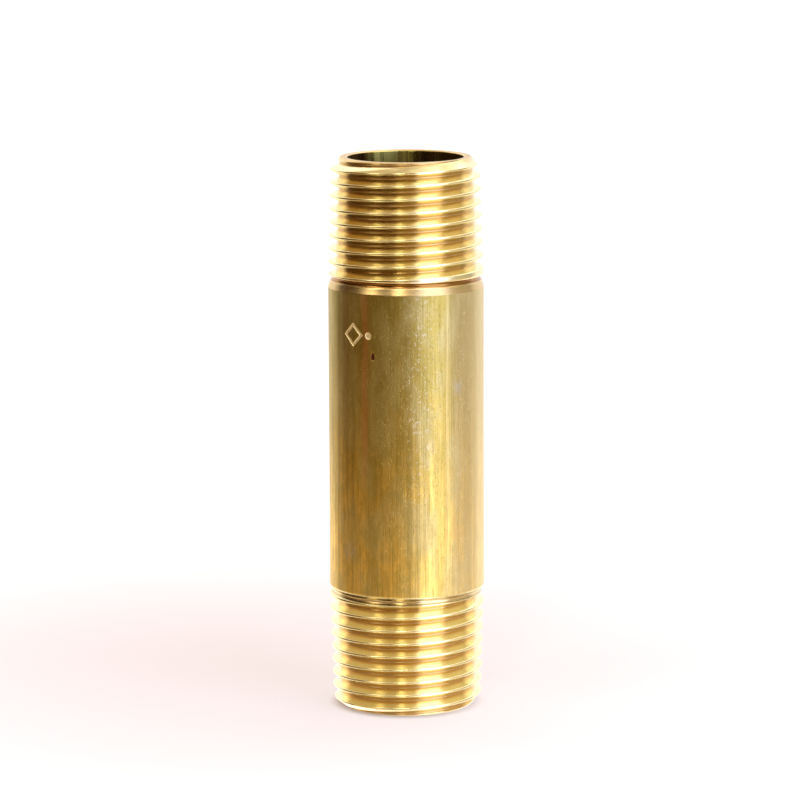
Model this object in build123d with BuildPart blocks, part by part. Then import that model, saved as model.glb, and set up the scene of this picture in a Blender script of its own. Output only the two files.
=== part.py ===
"""Threaded pipe nipple: brass tube with a tapered right-hand pipe thread on each end.

Millimetres, +Z up. The origin is the centre of the bottom end face and the tube's axis is +Z.
"""

import os
from math import atan, ceil, cos, degrees, radians, tan

from build123d import *

os.makedirs("parts", exist_ok=True)

# Tube
inch = 25.4
length = 3 * inch
barrel_diameter = 0.84 * inch
bore_diameter = 15.9
bore_deburr = 0.15

# Pipe thread, 60 degree form, tapered 1 in 16 on the diameter
threads_per_inch = 14
pitch = inch / threads_per_inch
radius_rise = 1 / 32
flank_angle = radians(30)
pitch_drop_base = 1.1
pitch_drop_per_diameter = 0.05 / inch
crest_truncation = 0.05 * pitch
root_truncation = 0.033 * pitch
groove_overcut = 0.04
run_out_turns = 0.5

# Threaded ends: depths are measured along the axis from the end face
chamfer_width = 1.4
bottom_chamfer_depth = 1.1
top_chamfer_depth = 1.6
bottom_first_groove = 2.17
top_first_groove = 2.11
bottom_relief_depth = 16.16
top_relief_depth = 16.49
bottom_shoulder_depth = 16.96
top_shoulder_depth = 17.74

# Relief groove and turned band between a thread and the barrel
relief_width = 0.9
relief_floor_width = 0.3
relief_cut = 0.45
band_neck_cut = 0.25
band_cut = 0.09
shoulder_bevel = 0.22

# Engraved mark on the barrel: an open diamond and a dot
mark_angle = -38.5
mark_height = 52.81
mark_cut = 0.12
stroke_width = 0.35
diamond_side = 2.3
diamond_offset = -0.7
dot_diameter = 0.9
dot_offset = 1.8

barrel_radius = barrel_diameter / 2
bore_radius = bore_diameter / 2
pitch_drop = pitch_drop_base + pitch_drop_per_diameter * barrel_diameter
pitch_diameter_at_end = barrel_diameter - pitch_drop * pitch
sharp_height = pitch / (2 * tan(flank_angle))
crest_radius_at_end = pitch_diameter_at_end / 2 + sharp_height / 2 - crest_truncation
root_radius_at_end = pitch_diameter_at_end / 2 - sharp_height / 2 + root_truncation
full_diameter_depth = (barrel_radius - crest_radius_at_end) / radius_rise
quarter_turn_rise = pitch / 4


def turn_cutter(start_depth, turns, rise):
    """Groove cutter for part of a turn; it starts above +X and its radius grows by rise per mm of depth."""
    cone = atan(rise)
    root_radius = root_radius_at_end + radius_rise * start_depth
    top_radius = crest_radius_at_end + radius_rise * start_depth + groove_overcut
    root_half_width = root_truncation * tan(flank_angle)
    top_half_width = root_half_width + (top_radius - root_radius) * tan(flank_angle)
    corners = [
        (root_radius, start_depth - root_half_width),
        (top_radius, start_depth - top_half_width),
        (top_radius, start_depth + top_half_width),
        (root_radius, start_depth + root_half_width),
    ]
    spirals = [
        Edge.make_helix(pitch / cos(cone), turns * pitch, radius, (0, 0, depth), angle=degrees(cone))
        for radius, depth in corners
    ]
    faces = [Face(Wire.make_polygon([spiral @ end for spiral in spirals])) for end in (0, 1)]
    for spiral, next_spiral in zip(spirals, spirals[1:] + spirals[:1]):
        faces.append(Face.make_surface_from_curves(spiral, next_spiral))
    return Solid(Shell(faces))


def thread_cutters(first_groove, relief_depth):
    """Cutters for one thread: whole turns from beyond the end face, then a part turn that rises out."""
    start = first_groove + quarter_turn_rise
    lead_turns = ceil(start / pitch + 0.5)
    whole_turns = int((relief_depth - first_groove) / pitch)
    cutters = []
    for turn in range(-lead_turns, whole_turns):
        cutters.append(turn_cutter(start + turn * pitch, 1, radius_rise))
    run_out_start = start + whole_turns * pitch
    metal_over_root = barrel_radius - root_radius_at_end - radius_rise * run_out_start
    run_out_rise = metal_over_root / (run_out_turns * pitch)
    cutters.append(turn_cutter(run_out_start, run_out_turns, run_out_rise))
    return cutters


def end_outline(chamfer_depth, relief_depth, shoulder_depth):
    """Outer profile of one end before threading, as (radius, depth) points from the end face inward."""
    relief_half = relief_width / 2
    floor_half = relief_floor_width / 2
    relief_radius = barrel_radius - relief_cut
    return [
        (crest_radius_at_end - chamfer_width, 0),
        (crest_radius_at_end + radius_rise * chamfer_depth, chamfer_depth),
        (barrel_radius, full_diameter_depth),
        (barrel_radius, relief_depth - relief_half),
        (relief_radius, relief_depth - floor_half),
        (relief_radius, relief_depth + floor_half),
        (barrel_radius - band_neck_cut, relief_depth + relief_half),
        (barrel_radius - band_cut, shoulder_depth - shoulder_bevel),
        (barrel_radius, shoulder_depth),
    ]


with BuildPart() as mark_cutter:
    mark_plane = Plane.XZ.rotated((0, 0, mark_angle)).offset(bore_radius)
    with BuildSketch(mark_plane):
        with Locations((diamond_offset, mark_height)):
            Rectangle(diamond_side, diamond_side, rotation=45)
            inner_side = diamond_side - 2 * stroke_width
            Rectangle(inner_side, inner_side, rotation=45, mode=Mode.SUBTRACT)
        with Locations((dot_offset, mark_height)):
            Circle(dot_diameter / 2)
    extrude(amount=barrel_radius)
    Cylinder(
        barrel_radius - mark_cut,
        length,
        align=(Align.CENTER, Align.CENTER, Align.MIN),
        mode=Mode.SUBTRACT,
    )

with BuildPart() as nipple:
    bottom_points = end_outline(bottom_chamfer_depth, bottom_relief_depth, bottom_shoulder_depth)
    top_points = end_outline(top_chamfer_depth, top_relief_depth, top_shoulder_depth)
    bore_points = [
        (bore_radius + bore_deburr, length),
        (bore_radius, length - bore_deburr),
        (bore_radius, bore_deburr),
        (bore_radius + bore_deburr, 0),
    ]
    outer_points = bottom_points + [(radius, length - depth) for radius, depth in reversed(top_points)]
    with BuildSketch(Plane.XZ):
        with BuildLine():
            Polyline(*outer_points, *bore_points, close=True)
        make_face()
    revolve(axis=Axis.Z)
    add(thread_cutters(bottom_first_groove, bottom_relief_depth), mode=Mode.SUBTRACT)
    with Locations((0, 0, length)):
        add(
            thread_cutters(top_first_groove, top_relief_depth),
            rotation=(0, 180, 0),
            mode=Mode.SUBTRACT,
        )
    add(mark_cutter.part, mode=Mode.SUBTRACT)

nipple.part.label = "nipple"
export_step(nipple.part, "parts/nipple.step")
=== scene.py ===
"""Looks of the threaded brass pipe nipple.

One fine closed mesh stands for the CAD solid. It has the same sizes, with rounded thread crests and edges,
and three brasses: cut metal on the threads, drawn tube on the barrel and dull metal in the bore. A pale
floor, a soft studio sky and a camera complete the scene.
"""

import bpy
import math
import numpy as np
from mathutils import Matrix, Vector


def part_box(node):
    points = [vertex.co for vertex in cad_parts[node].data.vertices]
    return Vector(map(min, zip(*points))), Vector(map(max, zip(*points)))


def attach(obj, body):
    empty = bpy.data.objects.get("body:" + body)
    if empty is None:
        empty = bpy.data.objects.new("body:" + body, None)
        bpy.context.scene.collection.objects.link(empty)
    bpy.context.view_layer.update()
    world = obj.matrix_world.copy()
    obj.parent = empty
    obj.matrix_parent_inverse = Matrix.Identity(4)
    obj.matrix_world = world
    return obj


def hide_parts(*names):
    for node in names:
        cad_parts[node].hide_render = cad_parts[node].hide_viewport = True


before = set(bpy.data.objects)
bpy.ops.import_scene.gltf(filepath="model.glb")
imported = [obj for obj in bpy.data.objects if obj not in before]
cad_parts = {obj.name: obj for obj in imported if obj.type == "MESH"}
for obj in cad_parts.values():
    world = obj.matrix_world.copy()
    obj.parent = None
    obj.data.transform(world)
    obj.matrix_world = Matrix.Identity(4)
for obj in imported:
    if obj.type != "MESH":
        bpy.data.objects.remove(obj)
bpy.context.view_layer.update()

# ---------------------------------------------------------------- sizes in mm, the same as the CAD model's
MM = 0.001
INCH = 25.4
FULL_TURN = 360
NODE_LOW, NODE_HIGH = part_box("nipple")
LENGTH = (NODE_HIGH[2] - NODE_LOW[2]) / MM
BARREL_R = (NODE_HIGH[0] - NODE_LOW[0]) / 2 / MM
BORE_R = 7.95
BORE_DEBURR = 0.15
THREADS_PER_INCH = 14
PITCH = INCH / THREADS_PER_INCH
RISE = 1 / 32
TAN30 = math.tan(math.radians(30))
SHARP = PITCH / (2 * TAN30)
PITCH_SHARE, PITCH_SHARE_PER_INCH = 1.1, 0.05
PITCH_R = (2 * BARREL_R - (PITCH_SHARE + PITCH_SHARE_PER_INCH / INCH * 2 * BARREL_R) * PITCH) / 2
CREST_TRUNCATION, ROOT_TRUNCATION = 0.05, 0.033
CREST_R = PITCH_R + SHARP / 2 - CREST_TRUNCATION * PITCH
ROOT_R = PITCH_R - SHARP / 2 + ROOT_TRUNCATION * PITCH
ROOT_HALF = ROOT_TRUNCATION * PITCH * TAN30
CHAMFER_WIDTH = 1.4
RELIEF_WIDTH = 0.9
RELIEF_FLOOR = 0.3
RELIEF_CUT = 0.45
BAND_NECK_CUT = 0.25
BAND_CUT = 0.09
SHOULDER_BEVEL = 0.22
RUN_OUT_TURNS = 0.5
FADE_LEAD_TURNS = 0.25
BOTTOM = {"chamfer": 1.1, "first": 2.17, "relief": 16.16, "shoulder": 16.96}
TOP = {"chamfer": 1.6, "first": 2.11, "relief": 16.49, "shoulder": 17.74}
MARK_ANGLE = -38.5
MARK_HEIGHT = 52.81
MARK_CUT = 0.12

# Two corners count as a narrow flat, on a crest or in a root, up to this width and slope.
WIDEST_CREST = 0.42
FLAT_SLOPE = 0.2
# Points closer than these are the same point, or lie on the surface.
SAME_DEPTH = 1e-4
ON_SURFACE = 1e-7


def blank_outline(end):
    """(depth, radius) points of one end before threading, from its face to the barrel."""
    half, floor = RELIEF_WIDTH / 2, RELIEF_FLOOR / 2
    return [
        (0.0, CREST_R - CHAMFER_WIDTH),
        (end["chamfer"], CREST_R + RISE * end["chamfer"]),
        ((BARREL_R - CREST_R) / RISE, BARREL_R),
        (end["relief"] - half, BARREL_R),
        (end["relief"] - floor, BARREL_R - RELIEF_CUT),
        (end["relief"] + floor, BARREL_R - RELIEF_CUT),
        (end["relief"] + half, BARREL_R - BAND_NECK_CUT),
        (end["shoulder"] - SHOULDER_BEVEL, BARREL_R - BAND_CUT),
        (end["shoulder"], BARREL_R),
    ]


for end in (BOTTOM, TOP):
    end["blank"] = blank_outline(end)
    end["turns"] = int((end["relief"] - end["first"]) / PITCH)
    end["fade"] = end["first"] + (end["turns"] + FADE_LEAD_TURNS) * PITCH
    end["fade_root"] = ROOT_R + RISE * end["fade"]
    end["fade_rise"] = (BARREL_R - end["fade_root"]) / (RUN_OUT_TURNS * PITCH)


def end_profile(psi, end):
    """Points (depth, radius, name, helical) of one end, by depth, psi degrees round along the thread."""
    blank = end["blank"]
    blank_d = [p[0] for p in blank]
    blank_r = [p[1] for p in blank]
    grooves = []
    for k in range(-2, end["turns"] + 2):
        centre = end["first"] + PITCH * (psi / FULL_TURN + k)
        if centre > end["fade"] + RUN_OUT_TURNS * PITCH:
            continue
        root = ROOT_R + RISE * centre
        if centre > end["fade"]:
            root = end["fade_root"] + (centre - end["fade"]) * end["fade_rise"]
        grooves.append((k, centre, root))

    def surface(d):
        r = float(np.interp(d, blank_d, blank_r))
        for _, centre, root in grooves:
            r = min(r, root + max(0.0, abs(d - centre) - ROOT_HALF) / TAN30)
        return r

    last = blank_d[-1]
    found = [(0.0, surface(0.0), ("face",), False)]
    for i, (d, r) in enumerate(blank[1:], 1):
        found.append((d, r, ("blank", i), False))
    for k, centre, root in grooves:
        for side in (-1, 1):
            found.append((centre + side * ROOT_HALF, root, ("groove", k, side), True))
            crossings = []
            for (d1, r1), (d2, r2) in zip(blank, blank[1:]):
                slope = (r2 - r1) / (d2 - d1)
                # The groove's flank meets this straight stretch of the blank where
                # root + (side * (d - centre) - ROOT_HALF) / TAN30 = r1 + slope * (d - d1).
                d = (r1 - slope * d1 - root + (side * centre + ROOT_HALF) / TAN30) / (side / TAN30 - slope)
                if d1 <= d <= d2 and side * (d - centre) > ROOT_HALF:
                    crossings.append((abs(d - centre), d, r1 + slope * (d - d1)))
            for n, (_, d, r) in enumerate(sorted(crossings)):
                found.append((d, r, ("edge", k, side, n), True))
    kept = []
    for point in sorted(found, key=lambda q: q[0]):
        if 0.0 <= point[0] <= last and abs(surface(point[0]) - point[1]) < ON_SURFACE:
            if not kept or point[0] - kept[-1][0] > SAME_DEPTH:
                kept.append(point)
    return peaked(kept)


def peaked(points):
    """The points with each narrow flat, on a crest or in a root, replaced by the corner of its two flanks."""
    out = []
    i = 0
    while i < len(points):
        a = points[i]
        b = points[i + 1] if i + 1 < len(points) else None
        narrow = b is not None and 0 < i < len(points) - 2 and a[3] and b[3] and b[0] - a[0] < WIDEST_CREST
        narrow = narrow and abs(b[1] - a[1]) < FLAT_SLOPE * (b[0] - a[0])
        crest = narrow and a[2][0] == "edge" and b[2][0] == "edge" and a[2][2] == 1 and b[2][2] == -1
        root = narrow and a[2][0] == "groove" and b[2][0] == "groove" and a[2][1] == b[2][1]
        if crest or root:
            out_or_in = 1 if crest else -1
            half = ((b[0] - a[0]) - (b[1] - a[1]) * TAN30 * out_or_in) / 2
            corner = ("crest" if crest else "root", a[2][1])
            out.append((a[0] + half, a[1] + out_or_in * half / TAN30, corner, True))
            i += 2
        else:
            out.append(a)
            i += 1
    return out


# ---------------------------------------------------------------- the engraved mark and one small dent
PATCH = {"theta": (-57.0, -21.0), "z": (48.66, 55.16), "d_theta": 0.36, "d_z": 0.07}
DIAMOND_SIDE = 2.3
STROKE = 0.35
DIAMOND_AT = -0.7
DOT_AT = 1.8
DOT_R = 0.45
DENT = {"theta": -25.3, "z": 50.06, "half_width": 0.36, "half_height": 0.75}
DENT.update({"cut": 0.09, "lean": 0.45, "rim": 0.7})
MARK_SOFTNESS = 0.09


def smooth(edge0, edge1, x):
    """0 below edge0, 1 above edge1 and a smooth rise between them."""
    t = np.clip((x - edge0) / (edge1 - edge0), 0, 1)
    return t * t * (3 - 2 * t)


def patch_cut(theta, z):
    """How far the engraved mark and the dent go below the barrel there, in mm."""
    u = BARREL_R * np.sin(np.radians(theta - MARK_ANGLE))
    v = z - MARK_HEIGHT
    ring = np.abs(u - DIAMOND_AT) + np.abs(v)
    outer = DIAMOND_SIDE / math.sqrt(2)
    inner = (DIAMOND_SIDE - 2 * STROKE) / math.sqrt(2)
    soft = MARK_SOFTNESS
    band = smooth(inner - soft, inner + soft, ring) * (1 - smooth(outer - soft, outer + soft, ring))
    dot = 1 - smooth(DOT_R - soft, DOT_R + soft, np.hypot(u - DOT_AT, v))
    du = BARREL_R * np.radians(theta - DENT["theta"]) / DENT["half_width"]
    dv = (z - DENT["z"]) / DENT["half_height"]
    lean = 1 + DENT["lean"] * np.clip(dv, -1, 1)
    dent = np.clip(1 - np.hypot(du * lean, dv), 0, 1)
    return MARK_CUT * np.maximum(band, dot) + DENT["cut"] * smooth(0, DENT["rim"], dent)


SLOPE_REACH_Z = 0.02
SLOPE_REACH_THETA = 0.1


def patch_slopes(theta, z):
    """How fast the cut deepens upwards and round the barrel, each as mm per mm."""
    up = patch_cut(theta, z + SLOPE_REACH_Z) - patch_cut(theta, z - SLOPE_REACH_Z)
    round_it = patch_cut(theta + SLOPE_REACH_THETA, z) - patch_cut(theta - SLOPE_REACH_THETA, z)
    return up / (2 * SLOPE_REACH_Z), round_it / (2 * SLOPE_REACH_THETA * math.radians(BARREL_R))


# ---------------------------------------------------------------- one closed profile per angle
# How far from each kind of corner its rounding starts, and in how many steps it turns.
ROUNDING = {"crest": 0.38, "root": 0.13, "groove": 0.07, "edge": 0.24}
ROUNDING.update({"blank": 0.10, "lip": 0.26, "face": 0.07, "rim": 0.05})
ARC_STEPS = {"crest": 6, "root": 3, "edge": 4, "blank": 3, "lip": 5}
PLAIN_ARC_STEPS = 2
LIPS = (("blank", 3), ("blank", 6))
LARGEST_SHARE = 0.42
SLIGHT_TURN = 8


def ring_profile(theta):
    """Closed loop of points (z, r, name, helical) at theta degrees from the front towards +X.

    It goes from the bore across the bottom face, up the outside and across the top face to the bore.
    """
    loop = [(BORE_DEBURR, BORE_R, ("bore", 0), False), (0.0, BORE_R + BORE_DEBURR, ("rim", 0), False)]
    for d, r, name, helical in end_profile(theta, BOTTOM):
        loop.append((d, r, ("bottom",) + name, helical))
    low, high = PATCH["theta"]
    if low - SAME_DEPTH <= theta <= high + SAME_DEPTH:
        for j, z in enumerate(np.arange(PATCH["z"][0], PATCH["z"][1], PATCH["d_z"])):
            loop.append((float(z), BARREL_R - float(patch_cut(theta, z)), ("patch", j), False))
    for d, r, name, helical in reversed(end_profile(-theta, TOP)):
        loop.append((LENGTH - d, r, ("top",) + name, helical))
    loop.append((LENGTH, BORE_R + BORE_DEBURR, ("rim", 1), False))
    loop.append((LENGTH - BORE_DEBURR, BORE_R, ("bore", 1), False))
    return loop


def rounded(theta, loop):
    """The loop at theta with rounded corners: (z, r, normal_z, normal_r, sideways slope, name, helical)."""
    n = len(loop)
    steps, lengths = [], []
    for i in range(n):
        a, b = loop[i], loop[(i + 1) % n]
        dz, dr = b[0] - a[0], b[1] - a[1]
        size = math.hypot(dz, dr)
        steps.append((dz / size, dr / size))
        lengths.append(size)
    out = []
    for i in range(n):
        z, r, name, helical = loop[i]
        (tz0, tr0), (tz1, tr1) = steps[i - 1], steps[i]
        turn = abs(math.degrees(math.atan2(tz0 * tr1 - tr0 * tz1, tz0 * tz1 + tr0 * tr1)))
        n0, n1 = (-tr0, tz0), (-tr1, tz1)
        if name[0] == "patch":
            slope_z, slope_t = patch_slopes(theta, z)
            out.append((z, r, slope_z, 1.0, slope_t, name, False))
            continue
        if turn < SLIGHT_TURN:
            out.append((z, r, n0[0] + n1[0], n0[1] + n1[1], 0.0, name + (0,), helical))
            continue
        kind = "lip" if name[1:] in LIPS else next((w for w in name if w in ROUNDING), "rim")
        cut = min(ROUNDING[kind], LARGEST_SHARE * lengths[i - 1], LARGEST_SHARE * lengths[i])
        begin = (z - tz0 * cut, r - tr0 * cut)
        count = ARC_STEPS.get(kind, PLAIN_ARC_STEPS)
        start = math.atan2(n0[1], n0[0])
        sweep = math.atan2(n0[0] * n1[1] - n0[1] * n1[0], n0[0] * n1[0] + n0[1] * n1[1])
        bend = cut / math.tan(abs(sweep) / 2)
        sign = 1.0 if sweep < 0 else -1.0
        centre = (begin[0] - sign * n0[0] * bend, begin[1] - sign * n0[1] * bend)
        for step in range(count + 1):
            angle = start + sweep * step / count
            nz, nr = math.cos(angle), math.sin(angle)
            point = (centre[0] + sign * nz * bend, centre[1] + sign * nr * bend)
            out.append((point[0], point[1], nz, nr, 0.0, name + (step,), helical))
    return out


COLUMN_STEP = 1.5
HALF_TURN = 180


def column_angles():
    """Angles of the mesh's columns: even all round, and close together over the engraved mark."""
    low, high = PATCH["theta"]
    coarse = [a for a in np.arange(-HALF_TURN, HALF_TURN, COLUMN_STEP) if a < low or a > high]
    fine = np.linspace(low, high, int(round((high - low) / PATCH["d_theta"])) + 1)
    return sorted(coarse + list(fine))


BARREL, CUT_METAL, BORE = 0, 1, 2
LAST_BLANK = ("bottom", "blank", 8)


def zone_of(name):
    """Material zone of the strip that starts at a profile point."""
    if name[:2] == ("bore", 1):
        return BORE
    if name[0] == "patch" or name[:3] == LAST_BLANK:
        return BARREL
    return CUT_METAL


def build_columns():
    """Vertex places and normals, and for each angle its column of (vertex, name, height)."""
    verts, normals, columns = [], [], []
    for theta in column_angles():
        s, c = math.sin(math.radians(theta)), math.cos(math.radians(theta))
        column = []
        for z, r, nz, nr, slope_t, name, helical in rounded(theta, ring_profile(theta)):
            nt = -PITCH / (2 * math.pi * r) * nz if helical else slope_t * nr
            column.append((len(verts), name, z))
            verts.append((r * s * MM, -r * c * MM, z * MM))
            normal = np.array((nr * s + nt * c, -nr * c + nt * s, nz))
            normals.append(normal / np.linalg.norm(normal))
        columns.append(column)
    # The last column is the first one again. Its names are one turn of thread further on.
    last = rounded(HALF_TURN, ring_profile(HALF_TURN))
    columns.append([(first[0], p[5], p[0]) for first, p in zip(columns[0], last, strict=True)])
    return verts, normals, columns


def stitch(a, b):
    """Faces between two neighbouring columns, matched by the points' names, and the zone of each face."""
    a, b = a + [a[0]], b + [b[0]]
    places_a = {name: i for i, (_, name, _) in enumerate(a)}
    places_b = {name: i for i, (_, name, _) in enumerate(b)}
    faces, zones = [], []
    i = j = 0
    while i < len(a) - 1 or j < len(b) - 1:
        step_a = step_b = False
        if i == len(a) - 1:
            step_b = True
        elif j == len(b) - 1:
            step_a = True
        elif a[i + 1][1] == b[j + 1][1]:
            step_a = step_b = True
        elif places_b.get(a[i + 1][1], -1) <= j:
            step_a = True
        elif places_a.get(b[j + 1][1], -1) <= i:
            step_b = True
        elif a[i + 1][2] < b[j + 1][2]:
            step_a = True
        else:
            step_b = True
        face = [a[i][0], b[j][0]]
        if step_b:
            face.append(b[j + 1][0])
        if step_a:
            face.append(a[i + 1][0])
        faces.append(face)
        zones.append(zone_of(a[i][1]))
        i += step_a
        j += step_b
    return faces, zones


def build_nipple():
    """The whole body as one closed mesh, with its vertex normals and the zone of each face."""
    verts, normals, columns = build_columns()
    faces, zones = [], []
    for a, b in zip(columns, columns[1:]):
        some_faces, some_zones = stitch(a, b)
        faces += some_faces
        zones += some_zones
    mesh = bpy.data.meshes.new("nipple_body")
    mesh.from_pydata(verts, [], faces)
    mesh.validate()
    mesh.update()
    return mesh, normals, zones


body_mesh, body_normals, body_zones = build_nipple()
body = bpy.data.objects.new("nipple_body", body_mesh)
bpy.context.scene.collection.objects.link(body)
for polygon in body_mesh.polygons:
    polygon.use_smooth = True
body_mesh.normals_split_custom_set_from_vertices([tuple(n) for n in body_normals])


# ---------------------------------------------------------------- node helpers
# Sockets of a Mix node that mixes colours.
MIX_FACTOR, MIX_A, MIX_B, MIX_RESULT = 0, 6, 7, 2


class Tree:
    """Adds shader nodes to one tree, a node per call, and returns its output socket."""

    def __init__(self, tree):
        self.tree = tree
        tree.nodes.clear()

    def add(self, kind, inputs=(), output=0, **settings):
        node = self.tree.nodes.new(kind)
        for name, value in settings.items():
            setattr(node, name, value)
        items = inputs.items() if isinstance(inputs, dict) else enumerate(inputs)
        for key, value in items:
            if isinstance(value, bpy.types.NodeSocket):
                self.tree.links.new(value, node.inputs[key])
            else:
                node.inputs[key].default_value = value
        return node.outputs[output]

    def length(self, vector):
        """Length of a vector."""
        return self.add("ShaderNodeVectorMath", (vector,), output="Value", operation="LENGTH")

    def split(self, vector):
        """X, Y and Z of a vector."""
        node = self.tree.nodes.new("ShaderNodeSeparateXYZ")
        self.tree.links.new(vector, node.inputs[0])
        return node.outputs

    def math(self, operation, *inputs):
        """One or more numbers put through a Math node."""
        return self.add("ShaderNodeMath", inputs, operation=operation)

    def times(self, *inputs):
        """Product of all the inputs."""
        product = inputs[0]
        for value in inputs[1:]:
            product = self.math("MULTIPLY", product, value)
        return product

    def scaled(self, vector, factors):
        """Vector with each axis scaled by its own factor."""
        return self.add("ShaderNodeVectorMath", (vector, factors), operation="MULTIPLY")

    def step(self, value, low, high, to_low=0.0, to_high=1.0):
        """Smooth change from to_low to to_high while the value goes from low to high."""
        inputs = (value, low, high, to_low, to_high)
        return self.add("ShaderNodeMapRange", inputs, interpolation_type="SMOOTHSTEP")

    def window(self, value, low, high, soft):
        """1 between low and high, 0 outside, with soft edges."""
        rise = self.step(value, low - soft, low + soft)
        fall = self.step(value, high - soft, high + soft, 1.0, 0.0)
        return self.math("MULTIPLY", rise, fall)

    def noise(self, vector, scale, detail=2.0, roughness=0.5):
        """Noise between 0 and 1, with scale in cycles per unit of the vector."""
        inputs = {"Vector": vector, "Scale": scale, "Detail": detail, "Roughness": roughness}
        return self.add("ShaderNodeTexNoise", inputs, output="Fac")

    def mix(self, factor, a, b):
        """Colour a where the factor is 0 and colour b where it is 1."""
        node = self.tree.nodes.new("ShaderNodeMix")
        node.data_type = "RGBA"
        self.tree.links.new(factor, node.inputs[MIX_FACTOR])
        for key, value in ((MIX_A, a), (MIX_B, b)):
            if isinstance(value, bpy.types.NodeSocket):
                self.tree.links.new(value, node.inputs[key])
            else:
                node.inputs[key].default_value = (*value, 1.0)
        return node.outputs[MIX_RESULT]

    def emission(self, color, strength):
        """Glowing surface of one colour."""
        return self.add("ShaderNodeEmission", {"Color": color, "Strength": strength})

    def add_output(self, shader, kind="ShaderNodeOutputMaterial"):
        """The tree's output node, with this shader as its surface."""
        self.tree.links.new(shader, self.tree.nodes.new(kind).inputs["Surface"])


def new_material(name):
    """A material and the tree that its nodes go in."""
    material = bpy.data.materials.new(name)
    material.use_nodes = True
    return material, Tree(material.node_tree)


def finish_metal(t, color, roughness, height, distance, strength):
    """Metal shader at the end of a tree, with a bump of this height map, distance in metres and strength."""
    normal = t.add("ShaderNodeBump", {"Height": height, "Distance": distance, "Strength": strength})
    inputs = {"Base Color": color, "Metallic": 1.0, "Roughness": roughness, "Normal": normal}
    t.add_output(t.add("ShaderNodeBsdfPrincipled", inputs))


def object_frame(t):
    """Object position in mm, angle from the front in degrees, height and distance from the axis."""
    position = t.add("ShaderNodeTexCoord", output="Object")
    position = t.add("ShaderNodeVectorMath", {0: position, "Scale": 1 / MM}, operation="SCALE")
    x, y, z = t.split(position)
    angle = t.math("MULTIPLY", t.math("ARCTAN2", x, t.math("MULTIPLY", y, -1.0)), HALF_TURN / math.pi)
    squares = t.math("ADD", t.math("MULTIPLY", x, x), t.math("MULTIPLY", y, y))
    return position, angle, z, t.math("SQRT", squares)


# ---------------------------------------------------------------- brass
# Along the tube, noise is stretched by these shares into lines, and round it into rings.
ALONG_HAIR, ALONG_STREAK, ALONG_CLOUD, ALONG_PIT, ALONG_MOTTLE, ALONG_BORE = 0.02, 0.03, 0.35, 0.6, 0.5, 0.05
ROUND_TURNING = 0.12

CUT_BRASS, CUT_BRASS_PALE = (0.87, 0.78, 0.43), (0.92, 0.86, 0.53)
# The dark colour for the thread groove bottoms is painted shade.
TOOL_MARK, GROOVE_SHADE = (0.82, 0.67, 0.34), (0.72, 0.50, 0.22)
# The dark colour for the relief grooves is painted shade.
RELIEF_SHADE, TURNED_BAND = (0.36, 0.19, 0.05), (0.68, 0.49, 0.20)

# Depths from an end, and depths below the thread crests, over which the cut metal changes, in mm.
RELIEF_DEPTHS = (15.85, 16.85)
BAND_DEPTHS = (16.75, 16.95)
BAND_ROUGH_DEPTHS = (16.5, 16.9)
CREST_ZONE = (0.15, 0.4)
GROOVE_SHADE_ZONE = (0.75, 1.3)
ROOT_ZONE = (1.24, 1.36)
RELIEF_SHADE_ZONE = (0.08, 0.3)
RELIEF_SHADE_HEIGHTS = (30.0, 40.0)
TURNING_HEIGHT = 0.000014


def cut_brass():
    """Freshly cut brass: threads, chamfers, end faces and the turned bands."""
    material, t = new_material("brass_cut")
    position, _, z, radius = object_frame(t)
    depth = t.math("MINIMUM", z, t.math("SUBTRACT", LENGTH, z))
    crest = t.math("MINIMUM", t.math("MULTIPLY_ADD", depth, RISE, CREST_R), BARREL_R)
    below = t.math("SUBTRACT", crest, radius)
    turned = t.scaled(position, (ROUND_TURNING, ROUND_TURNING, 1.0))
    tool_marks = t.noise(turned, 9.0, detail=3.0, roughness=0.6)
    coarse_marks = t.noise(turned, 2.6, detail=1.0)
    patches = t.noise(position, 0.22, detail=3.0, roughness=0.55)
    # Painted shade: the relief grooves are darkened, less at the bottom end.
    relief_shade = t.times(t.window(depth, *RELIEF_DEPTHS, 0.1), t.step(below, *RELIEF_SHADE_ZONE))
    relief_shade = t.times(relief_shade, t.step(z, *RELIEF_SHADE_HEIGHTS, 0.45, 1.0))
    color = t.mix(patches, CUT_BRASS, CUT_BRASS_PALE)
    color = t.mix(t.step(tool_marks, 0.35, 0.75, 0.0, 0.25), color, TOOL_MARK)
    # Painted shade: the cut metal darkens towards the thread roots.
    color = t.mix(t.step(below, *GROOVE_SHADE_ZONE, 0.0, 0.7), color, GROOVE_SHADE)
    color = t.mix(relief_shade, color, RELIEF_SHADE)
    color = t.mix(t.step(depth, *BAND_DEPTHS, 0.0, 0.85), color, TURNED_BAND)
    roughness = t.step(below, *CREST_ZONE, 0.22, 0.145)
    roughness = t.math("ADD", roughness, t.step(tool_marks, 0.3, 0.7, 0.0, 0.05))
    roughness = t.math("ADD", roughness, t.step(depth, *BAND_ROUGH_DEPTHS, 0.0, 0.06))
    roughness = t.math("ADD", roughness, t.step(below, *ROOT_ZONE, 0.0, 0.14))
    height = t.math("ADD", tool_marks, t.math("MULTIPLY", coarse_marks, 1.6))
    finish_metal(t, color, roughness, height, TURNING_HEIGHT, 0.6)
    return material


DRAWN_BRASS, DRAWN_BRASS_LOW = (0.50, 0.40, 0.10), (0.97, 0.70, 0.175)
STREAK, HAIR, MOTTLE = (0.34, 0.26, 0.06), (0.32, 0.23, 0.05), (0.36, 0.31, 0.07)
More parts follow.
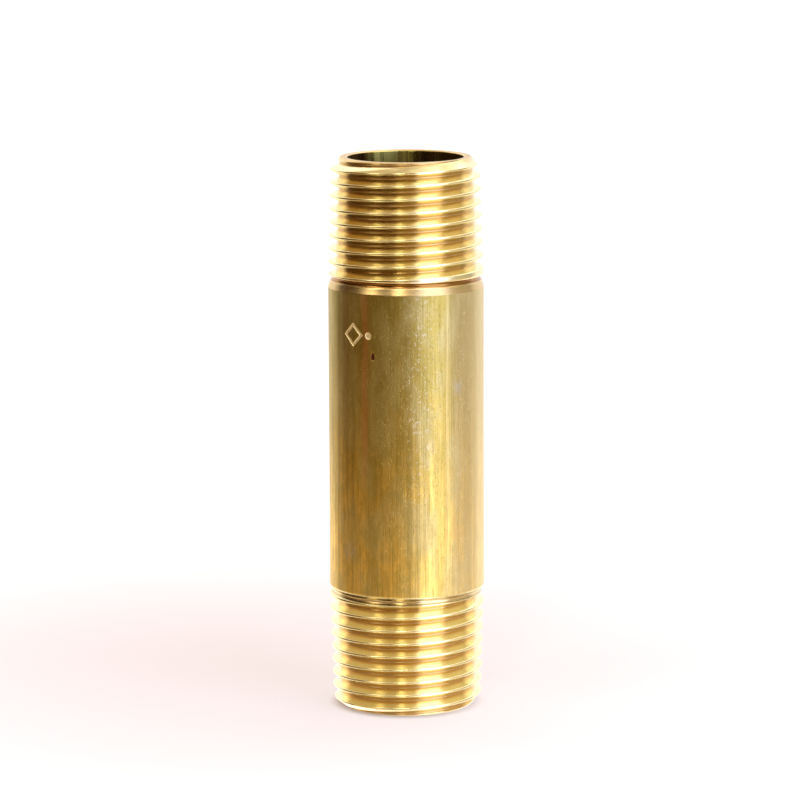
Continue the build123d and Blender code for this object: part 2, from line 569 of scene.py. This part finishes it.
# The pale colour for the barrel's right side is a painted reflection, and the gold colour for the thin line
# there is a painted highlight.
CLOUD, PAINTED_SHEEN, PALE_SPECK = (0.62, 0.55, 0.25), (0.90, 0.79, 0.46), (0.93, 0.88, 0.66)
RED_STRIPE, DARK_STRIP, HIGHLIGHT_LINE = (0.72, 0.36, 0.13), (0.42, 0.30, 0.10), (0.95, 0.80, 0.36)
STAIN, GREY_STAIN, PALE_STAIN = (0.38, 0.36, 0.20), (0.60, 0.62, 0.60), (0.62, 0.58, 0.40)
ENGRAVED, DENT_BOTTOM = (0.95, 0.86, 0.58), (0.16, 0.04, 0.02)

# Where the barrel's marks lie: angles from the front in degrees with their softness, and heights in mm.
RED_STRIPE_ANGLES, RED_STRIPE_HEIGHTS = (-31.5, -26.5, 1.8), (28.0, 42.0)
DARK_STRIP_ANGLES, DARK_STRIP_HEIGHTS = (-50.0, -43.0, 2.0), (30.0, 46.0)
HIGHLIGHT_LINE_ANGLES, HIGHLIGHT_LINE_HEIGHTS = (30.5, 32.5, 0.8), (18.0, 30.0)
SPECK_ANGLES, SPECK_HEIGHTS = (1.0, 20.0, 7.0), (24.0, 40.0)
GREY_STAIN_ANGLES, GREY_STAIN_HEIGHTS = (38.0, 45.0, 3.0), (44.8, 46.4, 0.7)
PALE_STAIN_ANGLES, PALE_STAIN_HEIGHTS = (-53.0, -42.0, 4.0), (21.4, 23.8, 1.0)
DENT_ANGLES, DENT_HEIGHTS = (-28.5, -22.5, 0.5), (48.9, 51.2, 0.2)
PAINTED_SHEEN_RISE, PAINTED_SHEEN_FALL = (28.0, 50.0), (100.0, 160.0)
GOLDEN_HEIGHTS = (20.0, 54.0)
ENGRAVED_CUTS, DENT_CUTS = (0.07, 0.02), (0.05, 0.015)
GRAIN_HEIGHT = 0.00003


def drawn_brass():
    """Drawn tube: dull, with lengthwise streaks, stains and pits."""
    material, t = new_material("brass_drawn")
    position, angle, z, radius = object_frame(t)
    hair = t.noise(t.scaled(position, (1.0, 1.0, ALONG_HAIR)), 6.0, detail=4.0, roughness=0.65)
    streak = t.noise(t.scaled(position, (1.0, 1.0, ALONG_STREAK)), 1.1, detail=3.0, roughness=0.6)
    cloud = t.noise(t.scaled(position, (1.0, 1.0, ALONG_CLOUD)), 0.35, detail=3.0, roughness=0.6)
    pits = t.noise(t.scaled(position, (1.0, 1.0, ALONG_PIT)), 3.4, detail=2.0, roughness=0.7)
    mottle = t.noise(t.scaled(position, (1.0, 1.0, ALONG_MOTTLE)), 0.8, detail=5.0, roughness=0.7)
    specks = t.noise(position, 2.1, detail=3.0, roughness=0.7)

    color = t.mix(t.step(z, *GOLDEN_HEIGHTS, 1.0, 0.0), DRAWN_BRASS, DRAWN_BRASS_LOW)
    color = t.mix(t.step(streak, 0.38, 0.62, 0.0, 0.48), color, STREAK)
    color = t.mix(t.step(cloud, 0.42, 0.62, 0.0, 0.5), color, CLOUD)
    color = t.mix(t.step(hair, 0.46, 0.66, 0.0, 0.42), color, HAIR)
    color = t.mix(t.step(mottle, 0.42, 0.62, 0.0, 0.35), color, MOTTLE)
    # Painted reflection: a broad pale sheen on the barrel's right side, fading out towards the back.
    painted_sheen = t.step(angle, *PAINTED_SHEEN_RISE, 0.0, 0.55)
    painted_sheen = t.times(painted_sheen, t.step(angle, *PAINTED_SHEEN_FALL, 1.0, 0.0))
    color = t.mix(painted_sheen, color, PAINTED_SHEEN)

    wander = t.math("MULTIPLY_ADD", cloud, 6.0, angle)
    red_stripe = t.times(t.window(wander, *RED_STRIPE_ANGLES), t.step(z, *RED_STRIPE_HEIGHTS, 0.0, 0.6))
    color = t.mix(red_stripe, color, RED_STRIPE)
    dark_strip = t.times(t.window(wander, *DARK_STRIP_ANGLES), t.step(z, *DARK_STRIP_HEIGHTS, 0.0, 0.5))
    color = t.mix(dark_strip, color, DARK_STRIP)
    # Painted highlight: a thin gold line up the barrel's right side, fainter low down.
    highlight_line = t.times(t.window(angle, *HIGHLIGHT_LINE_ANGLES), t.step(z, *HIGHLIGHT_LINE_HEIGHTS, 0.1, 0.28))
    color = t.mix(highlight_line, color, HIGHLIGHT_LINE)

    pale_specks = t.times(t.window(angle, *SPECK_ANGLES), t.step(specks, 0.54, 0.66, 0.0, 0.38))
    pale_specks = t.times(pale_specks, t.step(z, *SPECK_HEIGHTS, 0.25, 1.0))
    color = t.mix(pale_specks, color, PALE_SPECK)
    color = t.mix(t.times(t.step(specks, 0.36, 0.30, 0.0, 0.5), t.step(cloud, 0.42, 0.58)), color, STAIN)
    grey_stain = t.times(t.window(angle, *GREY_STAIN_ANGLES), t.window(z, *GREY_STAIN_HEIGHTS))
    color = t.mix(t.times(grey_stain, t.step(specks, 0.40, 0.60, 0.15, 0.5)), color, GREY_STAIN)
    pale_stain = t.times(t.window(angle, *PALE_STAIN_ANGLES), t.window(z, *PALE_STAIN_HEIGHTS))
    color = t.mix(t.times(pale_stain, t.step(specks, 0.42, 0.58, 0.1, 0.6)), color, PALE_STAIN)

    sunk = t.step(radius, BARREL_R - ENGRAVED_CUTS[0], BARREL_R - ENGRAVED_CUTS[1], 1.0, 0.0)
    color = t.mix(sunk, color, ENGRAVED)
    in_dent = t.times(t.window(angle, *DENT_ANGLES), t.window(z, *DENT_HEIGHTS))
    in_dent = t.times(in_dent, t.step(radius, BARREL_R - DENT_CUTS[0], BARREL_R - DENT_CUTS[1], 1.0, 0.0))
    color = t.mix(in_dent, color, DENT_BOTTOM)

    roughness = t.math("ADD", t.step(cloud, 0.3, 0.7, 0.36, 0.43), t.step(hair, 0.3, 0.7, -0.03, 0.06))
    roughness = t.math("ADD", roughness, t.math("MULTIPLY", pale_specks, 0.2))
    roughness = t.math("MULTIPLY_ADD", sunk, 0.2, roughness)
    height = t.math("SUBTRACT", t.math("MULTIPLY", hair, 0.7), t.step(pits, 0.60, 0.70))
    height = t.math("MULTIPLY_ADD", streak, 2.0, height)
    finish_metal(t, color, roughness, height, GRAIN_HEIGHT, 0.5)
    return material


BORE_BRASS, BORE_BRASS_PALE, BORE_DARK = (0.50, 0.46, 0.11), (0.72, 0.65, 0.19), (0.17, 0.10, 0.035)
# The paler stretch of the bore, in degrees from the front, counted through the back.
BORE_PALE_ANGLES = (-190.0, -141.0, 7.0)


def bore_brass():
    """Inside of the tube: drawn and unpolished, dark all round except one paler stretch."""
    material, t = new_material("brass_bore")
    position, angle, _, _ = object_frame(t)
    streak = t.noise(t.scaled(position, (1.0, 1.0, ALONG_BORE)), 1.2, detail=3.0, roughness=0.6)
    turned = t.math("SUBTRACT", angle, t.step(angle, -0.1, 0.1, 0.0, FULL_TURN))
    color = t.mix(t.step(streak, 0.3, 0.7), BORE_BRASS, BORE_BRASS_PALE)
    color = t.mix(t.window(turned, *BORE_PALE_ANGLES), BORE_DARK, color)
    roughness = t.step(streak, 0.3, 0.7, 0.25, 0.38)
    finish_metal(t, color, roughness, streak, GRAIN_HEIGHT, 0.5)
    return material


for material in (drawn_brass(), cut_brass(), bore_brass()):
    body_mesh.materials.append(material)
for polygon, zone in zip(body_mesh.polygons, body_zones):
    polygon.material_index = zone
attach(body, "root")
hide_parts("nipple")


# ---------------------------------------------------------------- floor, in metres
def disc(name, radius, height, sides=96):
    """A flat round stage piece, lying at this height."""
    mesh = bpy.data.meshes.new(name)
    turns = [2 * math.pi * k / sides for k in range(sides)]
    points = [(radius * math.cos(turn), radius * math.sin(turn), height) for turn in turns]
    mesh.from_pydata(points, [], [tuple(range(sides))])
    obj = bpy.data.objects.new(name, mesh)
    bpy.context.scene.collection.objects.link(obj)
    return obj


FLOOR_RADIUS = 6.0
PAPER_DIFFUSE = (0.30, 0.275, 0.275, 1.0)
PAPER_SHADE, PAPER, CONTACT_SHADE = (0.62, 0.56, 0.57), (0.88, 0.88, 0.90), (0.12, 0.06, 0.03)
SHADE_OFFSET, SHADE_REACH = (0.022, -0.025, 0.0), 0.14
CONTACT_REACH = (0.0090, 0.0112)
CONTACT_SIDES = (0.018, 0.034)

floor = disc("floor", FLOOR_RADIUS, 0.0)
floor.visible_glossy = False
material, t = new_material("floor_paper")
position = t.add("ShaderNodeTexCoord", output="Object")
# Painted shadow: the floor is darker and warmer near a point left of and behind the base, and a painted
# contact shadow rings the base, fainter on the right.
place = t.add("ShaderNodeVectorMath", (position, SHADE_OFFSET), operation="ADD")
paper = t.mix(t.step(t.length(place), 0.0, SHADE_REACH), PAPER_SHADE, PAPER)
contact = t.step(t.length(position), *CONTACT_REACH, 0.65, 0.0)
contact = t.times(contact, t.step(t.split(place)[0], *CONTACT_SIDES, 1.0, 0.35))
paper = t.mix(contact, paper, CONTACT_SHADE)
diffuse = t.add("ShaderNodeBsdfDiffuse", {"Color": PAPER_DIFFUSE})
t.add_output(t.add("ShaderNodeAddShader", (diffuse, t.emission(paper, 1.0))))
floor.data.materials.append(material)

# A glow over the floor that only reflections see: bright close to the object, and warm further out.
BOUNCE_RADIUS = 0.45
BOUNCE_HEIGHT = 0.0001
NEAR_GLOW, FAR_GLOW = (1.0, 0.86, 0.70, 1.0), (0.86, 0.48, 0.15, 1.0)
NEAR_REACH, NEAR_STRENGTH = (0.02, 0.12), 0.52
NEAR_SIDES = (-0.02, 0.02)
FAR_RISE, FAR_FALL = (0.03, 0.11), (0.08, 0.38)

bounce = disc("floor_bounce", BOUNCE_RADIUS, BOUNCE_HEIGHT)
bounce.visible_camera = False
bounce.visible_diffuse = False
bounce.visible_shadow = False
bounce.visible_transmission = False
material, t = new_material("floor_bounce")
position = t.add("ShaderNodeTexCoord", output="Object")
away = t.length(position)
near_strength = t.step(away, *NEAR_REACH, NEAR_STRENGTH, 0.0)
near_strength = t.times(near_strength, t.step(t.split(position)[0], *NEAR_SIDES, 1.0, 0.45))
far_strength = t.times(t.step(away, *FAR_RISE, 0.4, 1.0), t.step(away, *FAR_FALL, 0.45, 0.0))
far = t.add("ShaderNodeAddShader", (t.emission(FAR_GLOW, far_strength), t.add("ShaderNodeBsdfTransparent")))
t.add_output(t.add("ShaderNodeAddShader", (t.emission(NEAR_GLOW, near_strength), far)))
bounce.data.materials.append(material)


# ---------------------------------------------------------------- studio light
BASE_GLOW = (0.075, 0.036, 0.010)
BACKDROP = (1.0, 0.98, 0.98, 1.0)
# Each soft light: its range of azimuth, its range of elevation and how soft the edges of both are, all in
# degrees, then its colour and its strength. Azimuth 0 is -Y, and 90 is +X.
SOFT_LIGHTS = [
    ((-180, 180), (38, 95), (1, 14), (1.0, 0.80, 0.55), 0.62),
    ((8, 172), (34, 80), (16, 8), (1.0, 0.99, 0.92), 0.45),
    ((21, 66), (-80, 62), (3, 8), (0.95, 1.0, 1.40), 2.0),
    ((66, 112), (-80, 50), (5, 10), (1.0, 0.93, 0.80), 0.50),
    ((118, 181), (-80, 60), (8, 10), (1.0, 0.99, 1.05), 1.15),
    ((-181, -126), (-80, 60), (8, 10), (1.0, 0.95, 0.92), 1.25),
    ((-8, 18), (-80, 40), (7, 10), (1.0, 0.80, 0.45), 0.26),
    ((-16, -7), (14, 56), (1.5, 6), (1.0, 0.95, 0.82), 5.5),
    ((-12, -9), (-60, 10), (1.0, 5), (1.0, 0.90, 0.70), 0.35),
    ((-15, -8), (-64, -38), (1.5, 5), (1.0, 0.97, 0.85), 2.0),
    ((-62, -50), (-64, -38), (2.0, 5), (1.0, 0.92, 0.72), 1.3),
    ((-65, -48), (14, 56), (2.0, 6), (1.0, 0.90, 0.72), 3.0),
    ((82, 112), (60, 79), (5, 2), (1.0, 1.0, 0.96), 0.9),
    ((-140, -100), (76, 82), (6, 1), (1.0, 0.95, 0.80), 0.9),
]
world = bpy.data.worlds.new("studio")
bpy.context.scene.world = world
world.use_nodes = True
t = Tree(world.node_tree)
sky_x, sky_y, sky_z = t.split(t.add("ShaderNodeTexCoord", output="Generated"))
azimuth = t.math("ARCTAN2", sky_x, t.math("MULTIPLY", sky_y, -1.0))
azimuth = t.math("MULTIPLY", azimuth, HALF_TURN / math.pi)
elevation = t.math("MULTIPLY", t.math("ARCSINE", sky_z), HALF_TURN / math.pi)
total = t.add("ShaderNodeCombineXYZ", BASE_GLOW)
for (az0, az1), (el0, el1), (soft_az, soft_el), tint, strength in SOFT_LIGHTS:
    amount = t.window(elevation, el0, el1, soft_el)
    if az1 - az0 < FULL_TURN:
        amount = t.times(amount, t.window(azimuth, az0, az1, soft_az))
    light = {0: tuple(c * strength for c in tint), "Scale": amount}
    light = t.add("ShaderNodeVectorMath", light, operation="SCALE")
    total = t.add("ShaderNodeVectorMath", (total, light), operation="ADD")
studio = t.add("ShaderNodeBackground", {"Color": total, "Strength": 1.0})
plain = t.add("ShaderNodeBackground", {"Color": BACKDROP, "Strength": 1.0})
seen = t.add("ShaderNodeLightPath", output="Is Camera Ray")
t.add_output(t.add("ShaderNodeMixShader", (seen, studio, plain)), "ShaderNodeOutputWorld")
bpy.context.scene.view_settings.view_transform = "Standard"


# ---------------------------------------------------------------- camera, in metres and radians
CAMERA_PLACE = (-0.000505, -0.541, 0.13406)
LOOKING_DOWN = 0.1677
ROLL = 0.0041
SENSOR_WIDTH = 36.0
FOCAL_LENGTH_IN_WIDTHS = 3985 / 800
CLOSEST, FURTHEST = 0.01, 50.0

lens = bpy.data.cameras.new("camera")
camera = bpy.data.objects.new("camera", lens)
bpy.context.scene.collection.objects.link(camera)
camera.location = CAMERA_PLACE
camera.rotation_euler = (math.pi / 2 - LOOKING_DOWN, ROLL, 0.0)
lens.sensor_width = SENSOR_WIDTH
lens.lens = FOCAL_LENGTH_IN_WIDTHS * SENSOR_WIDTH
lens.clip_start = CLOSEST
lens.clip_end = FURTHEST
bpy.context.scene.camera = camera
